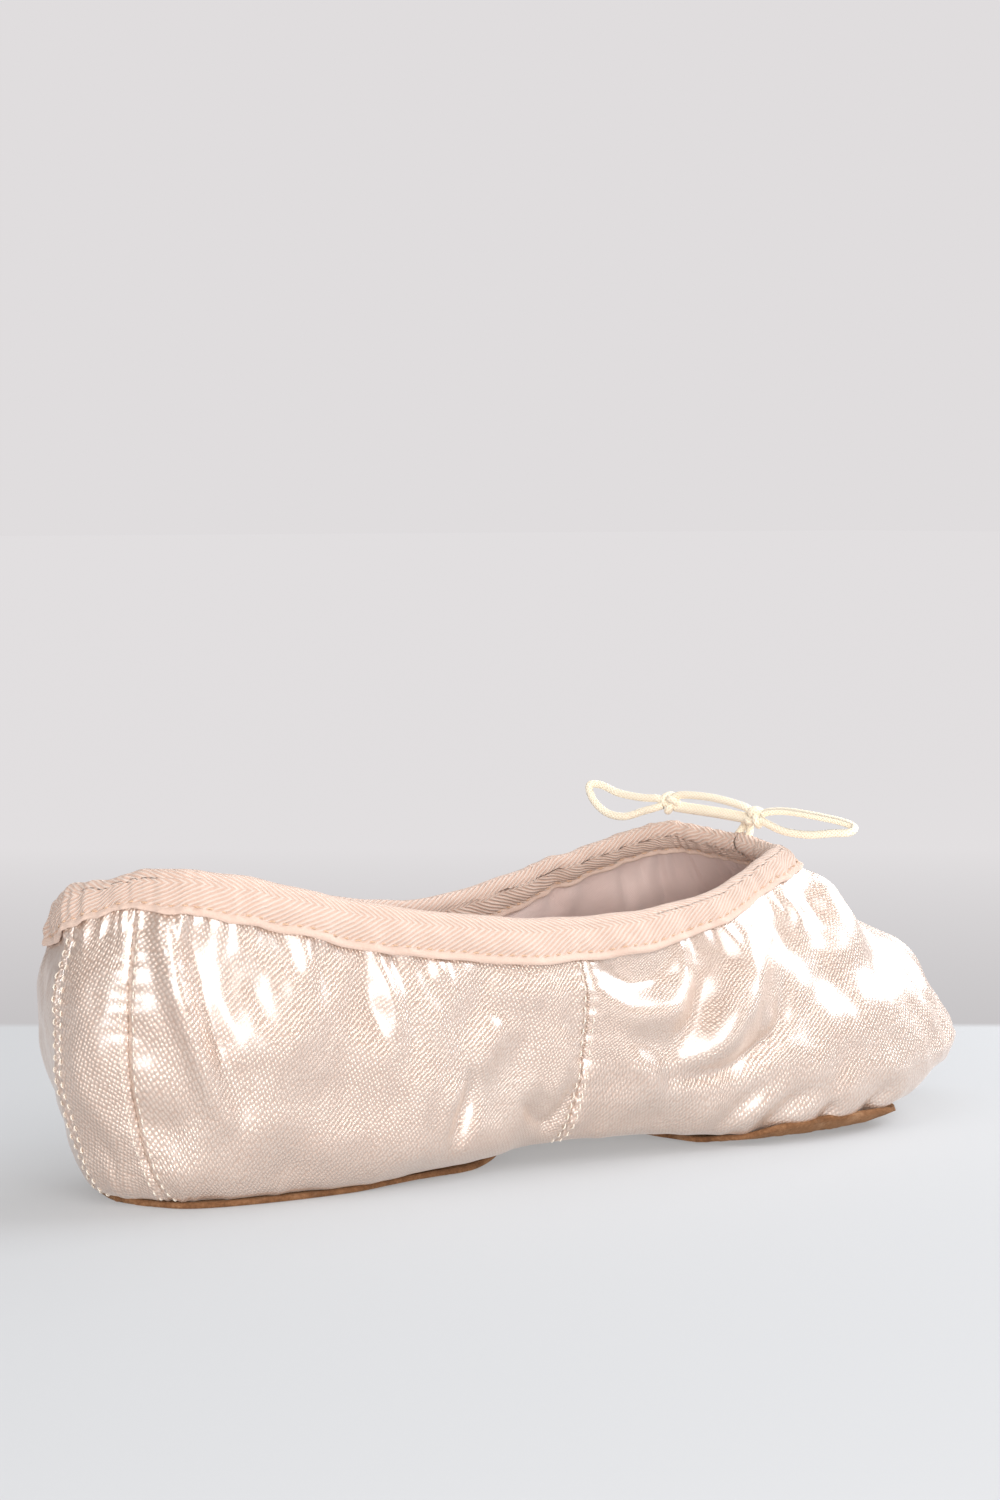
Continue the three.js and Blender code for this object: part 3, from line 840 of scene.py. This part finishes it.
def linear(red, green, blue):
    """A colour written as it looks on screen, 0 to 255, as the shader wants it."""
    return tuple(((v / 255 + 0.055) / 1.055) ** 2.4 for v in (red, green, blue))


def solid(colour):
    return (*linear(*colour), 1)


def satin_look(name, grain):
    """Slipper satin: glossy floats in slanted rows over a duller weave; the colour is lighter on the floats'
    dots, a painted sparkle, and darker peach between them, a painted shade. grain is the rows' slant.
    """
    look = Look(name, Metallic=0.35, IOR=1.7, Specular_IOR_Level=0.8, Sheen_Weight=0.2, Sheen_Roughness=0.4,
                Sheen_Tint=solid((255, 240, 228)), Coat_Weight=1.0, Coat_Roughness=0.28, Coat_IOR=2.6)
    flat = look.cloth()[0]
    slanted = look.turned(flat, grain, (1 / 0.62, 1 / 0.92, 1))
    floats = look.add("ShaderNodeTexVoronoi", {"Vector": slanted, "Scale": 1.0, "Randomness": 0.38},
                      voronoi_dimensions="2D")
    dots = look.shades(floats, 1.0, 0.0, 0.08, 0.62)
    place = look.place()
    cloud = look.noise(place, 38, 3)
    blotch = look.noise(place, 150, 4, 0.6)
    slub = look.noise(look.turned(flat, grain, (0.12, 2.2, 1)), 1.0, 2)
    tone = look.ramp(look.math("MULTIPLY_ADD", cloud, 0.7, look.math("MULTIPLY", blotch, 0.3)), [
        (0.30, linear(213, 189, 172)), (0.52, linear(221, 200, 184)), (0.72, linear(229, 212, 198))])
    # Painted shade: the darker peach mixed in here stands for the shade between the satin's floats.
    shaded_ground = look.mix(0.7, tone, solid((178, 132, 102)))
    threads_and_sparkle = look.math("MULTIPLY_ADD", slub, 0.35, look.math("MULTIPLY", dots, 0.75))
    # The colour is lighter on the dots and slubs, painted sparkle, and darker between them, painted shade.
    colour = look.mix(look.shades(threads_and_sparkle, 0.0, 1.0), shaded_ground, tone)
    rough = look.shades(threads_and_sparkle, 0.46, 0.27)
    look.bumps((blotch, 0.6, 0.3), (slub, 0.10, 0.35), (dots, 0.20, 0.9))
    return look.finish(colour, rough)


def tape_look():
    """Herringbone cotton tape: slanted ribs that meet in points, with a smooth selvedge. Its colour follows
    the ribs' height: cream on the crests and darker peach in the grooves, painted shade between the ribs.
    """
    look = Look("herringbone_tape", Specular_IOR_Level=0.18, Sheen_Weight=0.5, Sheen_Roughness=0.6,
                Sheen_Tint=solid((255, 238, 226)))
    flat, u, v = look.cloth()
    place = look.place()
    wander = look.math("MULTIPLY", look.math("SUBTRACT", look.noise(place, 260, 2), 0.5), 0.9)
    off_apex = look.math("ABSOLUTE", look.math("SUBTRACT", look.math("ABSOLUTE", v), RIB_APEX))
    slope = look.math("MULTIPLY_ADD", off_apex, -RIB_SLOPE, u)
    phase = look.math("MULTIPLY", look.math("ADD", slope, wander), 2 * np.pi / RIB_PITCH)
    rib = look.math("MULTIPLY_ADD", look.math("SINE", phase), 0.5, 0.5)
    beads = look.add("ShaderNodeTexVoronoi", {"Vector": flat, "Scale": 2.6, "Randomness": 0.6},
                     voronoi_dimensions="2D")
    fuzz = look.noise(place, 2600, 2)
    lip = look.shades(look.math("ABSOLUTE", v), 1.0, 0.0, 9.2, 9.6)
    cut = look.math("MULTIPLY", rib, lip)
    smooth_lip = look.math("SUBTRACT", 1.0, lip)
    height = look.math("ADD", cut, look.math("MULTIPLY", smooth_lip, 0.45))
    cloud = look.noise(place, 60, 3)
    # Painted shade: the darker peach groove colour, mixed in by the ribs' height below, stands for the shade
    # in the grooves between the ribs.
    crest = look.mix(look.shades(cloud, 0.1, 0.9), solid((205, 181, 166)), solid((213, 193, 180)))
    groove = look.mix(look.shades(cloud, 0.0, 1.0), solid((190, 146, 122)), solid((202, 164, 142)))
    colour = look.mix(look.math("POWER", height, 0.8), groove, crest)
    colour = look.mix(look.math("MULTIPLY", fuzz, 0.22), colour, solid((255, 246, 238)))
    look.bumps((height, 0.26, 0.75), (beads, 0.10, 0.4), (fuzz, 0.08, 0.4))
    return look.finish(colour, look.shades(fuzz, 0.75, 0.95))


def woven_look(name, light, dark, pitch, sheen=0.3):
    """Plain-woven cotton for the lining and the sock."""
    look = Look(name, Specular_IOR_Level=0.15, Sheen_Weight=sheen, Sheen_Roughness=0.6)
    _, u, v = look.cloth()
    place = look.place()
    wobble = look.math("MULTIPLY", look.noise(place, 300, 2), 1.2)
    warp = look.math("SINE", look.math("MULTIPLY", look.math("ADD", u, wobble), 2 * np.pi / pitch))
    weft = look.math("SINE", look.math("MULTIPLY", look.math("ADD", v, wobble), 2 * np.pi / pitch))
    weave = look.math("MULTIPLY_ADD", look.math("MULTIPLY", warp, weft), 0.5, 0.5)
    cloud = look.noise(place, 70, 4)
    fuzz = look.noise(place, 1800, 2)
    tone = look.mix(look.shades(cloud, 0.0, 1.0), solid(dark), solid(light))
    colour = look.mix(look.math("MULTIPLY", weave, 0.4), tone, solid(light))
    look.bumps((weave, 0.12, 0.6), (fuzz, 0.10, 0.4))
    return look.finish(colour, look.shades(fuzz, 0.80, 0.98))


def suede_look():
    """Brushed suede: a short nap in patches, darker where it lies down, scuffed pale in places."""
    look = Look("suede", Specular_IOR_Level=0.12, Sheen_Weight=0.45, Sheen_Roughness=0.5,
                Sheen_Tint=solid((205, 160, 120)))
    place = look.place()
    nap = look.noise(place, 1500, 4, 0.7)
    patch = look.noise(place, 170, 4, 0.6)
    pits = look.add("ShaderNodeTexVoronoi", {"Vector": place, "Scale": 1300, "Randomness": 1.0})
    brown = look.ramp(look.math("MULTIPLY_ADD", patch, 0.55, look.math("MULTIPLY", nap, 0.45)), [
        (0.34, linear(92, 60, 38)), (0.50, linear(124, 86, 58)), (0.66, linear(156, 116, 84))])
    scuff = look.shades(look.noise(place, 55, 5, 0.65), 0.0, 1.0, 0.60, 0.74)
    colour = look.mix(look.math("MULTIPLY", scuff, 0.4), brown, solid((206, 172, 140)))
    look.bumps((patch, 0.5, 0.35), (nap, 0.25, 0.8), (pits, 0.12, 0.4))
    return look.finish(colour, look.shades(nap, 0.85, 1.0))


def board_look():
    """Pressed fibre board: mottled, with long pale fibres."""
    look = Look("fibre_board", Specular_IOR_Level=0.2)
    place = look.place()
    fibres = look.noise(look.turned(place, 0.5, (300, 1800, 600)), 1.0, 4, 0.6)
    specks = look.noise(place, 900, 3)
    colour = look.ramp(fibres, [(0.3, linear(176, 150, 118)), (0.55, linear(204, 182, 150)),
                                (0.75, linear(222, 205, 178))])
    look.bumps((fibres, 0.15, 0.5), (specks, 0.08, 0.4))
    return look.finish(colour, look.shades(specks, 0.75, 0.95))


def cord_look(name, light, dark, pitch):
    """Braided or twisted cotton cord, with strands that cross along it."""
    look = Look(name, Specular_IOR_Level=0.22, Sheen_Weight=0.4, Sheen_Roughness=0.5)
    _, u, v = look.cloth()
    place = look.place()
    one = look.math("SINE", look.math("MULTIPLY", look.math("MULTIPLY_ADD", v, 1.2, u), 2 * np.pi / pitch))
    two = look.math("SINE", look.math("MULTIPLY", look.math("MULTIPLY_ADD", v, -1.2, u), 2 * np.pi / pitch))
    strand = look.math("MULTIPLY_ADD", look.math("MAXIMUM", one, two), 0.5, 0.5)
    fuzz = look.noise(place, 2200, 2)
    colour = look.mix(look.math("POWER", strand, 0.8), solid(dark), solid(light))
    look.bumps((strand, 0.16, 0.7), (fuzz, 0.08, 0.4))
    return look.finish(colour, look.shades(fuzz, 0.65, 0.9))


def floor_look():
    """White paper floor that turns to a soft grey backdrop behind the shoe."""
    look = Look("floor", Specular_IOR_Level=0.1, Emission_Strength=1.0)
    place = look.place()
    heading = Vector(CAMERA_LOOK[:2]).normalized()
    across = look.add("ShaderNodeVectorMath", {0: place, 1: (heading[0], heading[1], 0)}, out=1,
                      operation="DOT_PRODUCT")
    start = (BACKDROP_DISTANCE + CAMERA_PLACE[0] * heading[0] + CAMERA_PLACE[1] * heading[1]) * MM
    beyond = look.shades(across, 0.0, 1.0, start - 0.004, start + 0.004)
    far = look.shades(across, 0.0, 1.0, start, start + 0.5)
    grain = look.noise(place, 900, 2)
    wall_tone = look.mix(far, solid((196, 193, 194)), solid((224, 221, 222)))
    near = look.mix(look.math("MULTIPLY", grain, 0.1), solid((160, 161, 163)), solid((154, 155, 157)))
    look.bumps((grain, 0.05, 0.2))
    look.feed(look.shader.inputs["Emission Color"], look.mix(beyond, (0.30, 0.30, 0.30, 1), wall_tone))
    return look.finish(look.mix(beyond, near, (0, 0, 0, 1)), look.shades(grain, 0.85, 0.95))


# ----- camera, stage, light -----


def add_camera():
    data = bpy.data.cameras.new("camera")
    data.lens = CAMERA_LENS
    data.sensor_width = 36
    data.clip_start = 10 * MM
    camera = bpy.data.objects.new("camera", data)
    camera.location = Vector(CAMERA_PLACE) * MM
    camera.rotation_mode = "QUATERNION"
    camera.rotation_quaternion = Vector(CAMERA_LOOK).to_track_quat("-Z", "Y")
    bpy.context.scene.collection.objects.link(camera)
    bpy.context.scene.camera = camera


def add_light(name, place, size, watts, colour):
    data = bpy.data.lights.new(name, "AREA")
    data.shape = "RECTANGLE"
    data.size, data.size_y = (side * MM for side in size)
    data.energy = watts
    data.color = colour
    light = bpy.data.objects.new(name, data)
    light.location = Vector(place) * MM
    light.rotation_mode = "QUATERNION"
    light.rotation_quaternion = (Vector((0, 0, 25 * MM)) - light.location).to_track_quat("-Z", "Y")
    light.visible_camera = False
    bpy.context.scene.collection.objects.link(light)


def add_studio():
    scene = bpy.context.scene
    reach = 12000
    corners = [[-reach, -reach, 0], [reach, -reach, 0], [reach, reach, 0], [-reach, reach, 0]]
    floor = make("floor", np.array(corners), [[0, 1, 2, 3]])
    floor.location.z = cad_box[0][2]
    floor.data.materials.append(floor_look())
    add_light("top_softbox", (60, 120, 850), (800, 600), 1.4, (1.0, 0.99, 0.99))
    add_light("front_softbox", (800, -300, 560), (700, 520), 9.6, (0.92, 0.96, 1.0))
    add_light("side_softbox", (880, 160, 400), (460, 360), 2.9, (0.97, 0.98, 1.0))
    add_light("left_softbox", (-860, -380, 100), (500, 180), 2.4, (0.98, 0.99, 1.0))
    add_light("camera_fill", (-340, -860, 560), (700, 460), 3.6, (1.0, 0.985, 0.97))
    add_light("low_fill", (-400, -790, 160), (640, 180), 4.0, (1.0, 0.99, 0.985))
    world = bpy.data.worlds.new("studio")
    world.use_nodes = True
    tree = world.node_tree
    glow = tree.nodes["Background"]
    glow.inputs[0].default_value = solid((240, 238, 240))
    glow.inputs[1].default_value = 0.36
    seen = tree.nodes.new("ShaderNodeBackground")
    seen.inputs[0].default_value = solid((224, 221, 222))
    choice = tree.nodes.new("ShaderNodeMixShader")
    path = tree.nodes.new("ShaderNodeLightPath")
    tree.links.new(path.outputs["Is Camera Ray"], choice.inputs[0])
    tree.links.new(glow.outputs[0], choice.inputs[1])
    tree.links.new(seen.outputs[0], choice.inputs[2])
    tree.links.new(choice.outputs[0], tree.nodes["World Output"].inputs["Surface"])
    scene.world = world
    scene.view_settings.view_transform = "Standard"


# ----- the pieces -----


def dress(piece, material, slot, *nodes):
    piece.data.materials.clear()
    piece.data.materials.append(material)
    if nodes:
        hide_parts(*nodes)
    return piece


def flexes(piece):
    """The piece runs across the arch, where the shoe bends; only its placement is baked into its mesh."""
    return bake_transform(piece)


add_camera()

CORD = cord_look("drawstring_cord", (254, 244, 222), (246, 224, 190), 0.9)
loop_left = smooth([(52.6, 18.6, 68.5), *LOOP_LEFT, (52.4, 18.5, 67.4)], 150)
loop_right = smooth([(59.8, -5.4, 66.6), *LOOP_RIGHT, (59.3, -5.6, 65.4)], 150)
top_path = smooth([(58.9, -3.4, 66.9), *STRAND_TOP, (53.9, 16.4, 69.3)], 50)
low_path = smooth([(59.0, -3.2, 65.4), *STRAND_LOW, (54.0, 16.2, 67.3)], 50)
strand_top = braid_tube("cord_strand_top", top_path, CORD_RADIUS)
strand_low = braid_tube("cord_strand_low", low_path, LOW_STRAND_RADIUS)
knot_left = knot("cord_knot_left", KNOT_LEFT, 0.4, 0.62)
knot_right = knot("cord_knot_right", KNOT_RIGHT, 1.5, 0.60)
left = braid_tube("cord_loop_left", loop_left, CORD_RADIUS)
right = braid_tube("cord_loop_right", loop_right, CORD_RADIUS)
for piece in (strand_top, strand_low, knot_left, knot_right, left, right):
    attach(dress(piece, CORD, "elastic", piece.name.replace("cord_", "bow_")), "bow")


SATIN_LOOK = satin_look("satin", 0.62)
STRIP_LOOK = satin_look("satin_strip", -0.45)
LINING_LOOK = woven_look("lining_cotton", (238, 216, 208), (224, 198, 190), 0.55)
SOCK_LOOK = woven_look("sock_cotton", (226, 208, 196), (206, 184, 170), 0.7)
THREAD = cord_look("thread", (250, 240, 226), (220, 196, 172), 0.5)
# Painted shade: the binding's thread is coloured darker peach, standing for the shadowed holes of its sunken
# stitches.
SHADED_THREAD = cord_look("binding_thread_painted_shade", (226, 190, 160), (190, 146, 114), 0.5)
TAPE_LOOK = tape_look()
SUEDE = suede_look()
BOARD_LOOK = board_look()

strip = satin_piece("satin_back_strip", strip_right, strip_left, 46, 110)
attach(dress(strip, STRIP_LOOK, "satin", "back_strip"), "heel")
quarter = satin_piece("satin_quarter_right", side_seam_right, strip_right, 160, 112)
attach(dress(quarter, SATIN_LOOK, "satin", "quarter_right"), "heel")
quarter = satin_piece("satin_quarter_left", strip_left, side_seam, 200, 112)
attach(dress(quarter, SATIN_LOOK, "satin", "quarter_left"), "heel")
vamp = satin_piece("satin_vamp", side_seam, side_seam_round, 400, 112)
flexes(dress(vamp, SATIN_LOOK, "satin", "vamp", "arch_satin"))

lining = lining_piece("cotton_heel_lining", side_seam_right, side_seam, 240, 56)
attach(dress(lining, LINING_LOOK, "lining", "heel_lining"), "heel")
lining = lining_piece("cotton_vamp_lining", side_seam, side_seam_round, 240, 56)
flexes(dress(lining, LINING_LOOK, "lining", "vamp_lining", "arch_lining"))

tape = add_binding()
flexes(dress(tape, TAPE_LOOK, "tape", "heel_binding", "arch_binding_left", "arch_binding_right",
             "binding_left", "binding_right"))
drawstring = add_drawstring()
flexes(dress(drawstring, CORD, "elastic", "heel_drawstring", "arch_drawstring_left", "arch_drawstring_right",
             "drawstring_left", "drawstring_right"))

for name, side in (("binding_stitches_outer", -1), ("binding_stitches_inner", 1)):
    flexes(dress(binding_stitches(name, side), SHADED_THREAD, "tape"))
for name, seam, shift in (
    ("heel_stitches_right_front", strip_right, -1.3), ("heel_stitches_right_back", strip_right, 1.3),
    ("heel_stitches_left_front", strip_left, 1.3), ("heel_stitches_left_back", strip_left, -1.3),
):
    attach(dress(seam_stitches(name, seam, shift, 0.84), THREAD, "satin"), "heel")
for name, seam, sign in (("side_stitches_left", side_seam, 1), ("side_stitches_right", side_seam_right, -1)):
    for label, shift in (("front", 1.0), ("back", -1.0)):
        row = seam_stitches(f"{name}_{label}", seam, shift * sign, 0.80)
        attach(dress(row, THREAD, "satin"), "heel")

heel_pad = suede_pad("suede_heel_pad", 0.052, 0.484, -0.92, 2.4)
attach(dress(heel_pad, SUEDE, "suede", "heel_pad"), "heel")
forefoot_pad = suede_pad("suede_forefoot_pad", 0.588, 0.800, -0.56, 3.0)
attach(dress(forefoot_pad, SUEDE, "suede", "forefoot_pad"), "forefoot")

sock = insole()
flexes(dress(sock, SOCK_LOOK, "lining", "heel_sock", "arch_sock", "forefoot_sock"))
for name in ("heel_board", "forefoot_board"):
    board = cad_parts[name]
    board.data.materials.clear()
    board.data.materials.append(BOARD_LOOK)

add_studio()
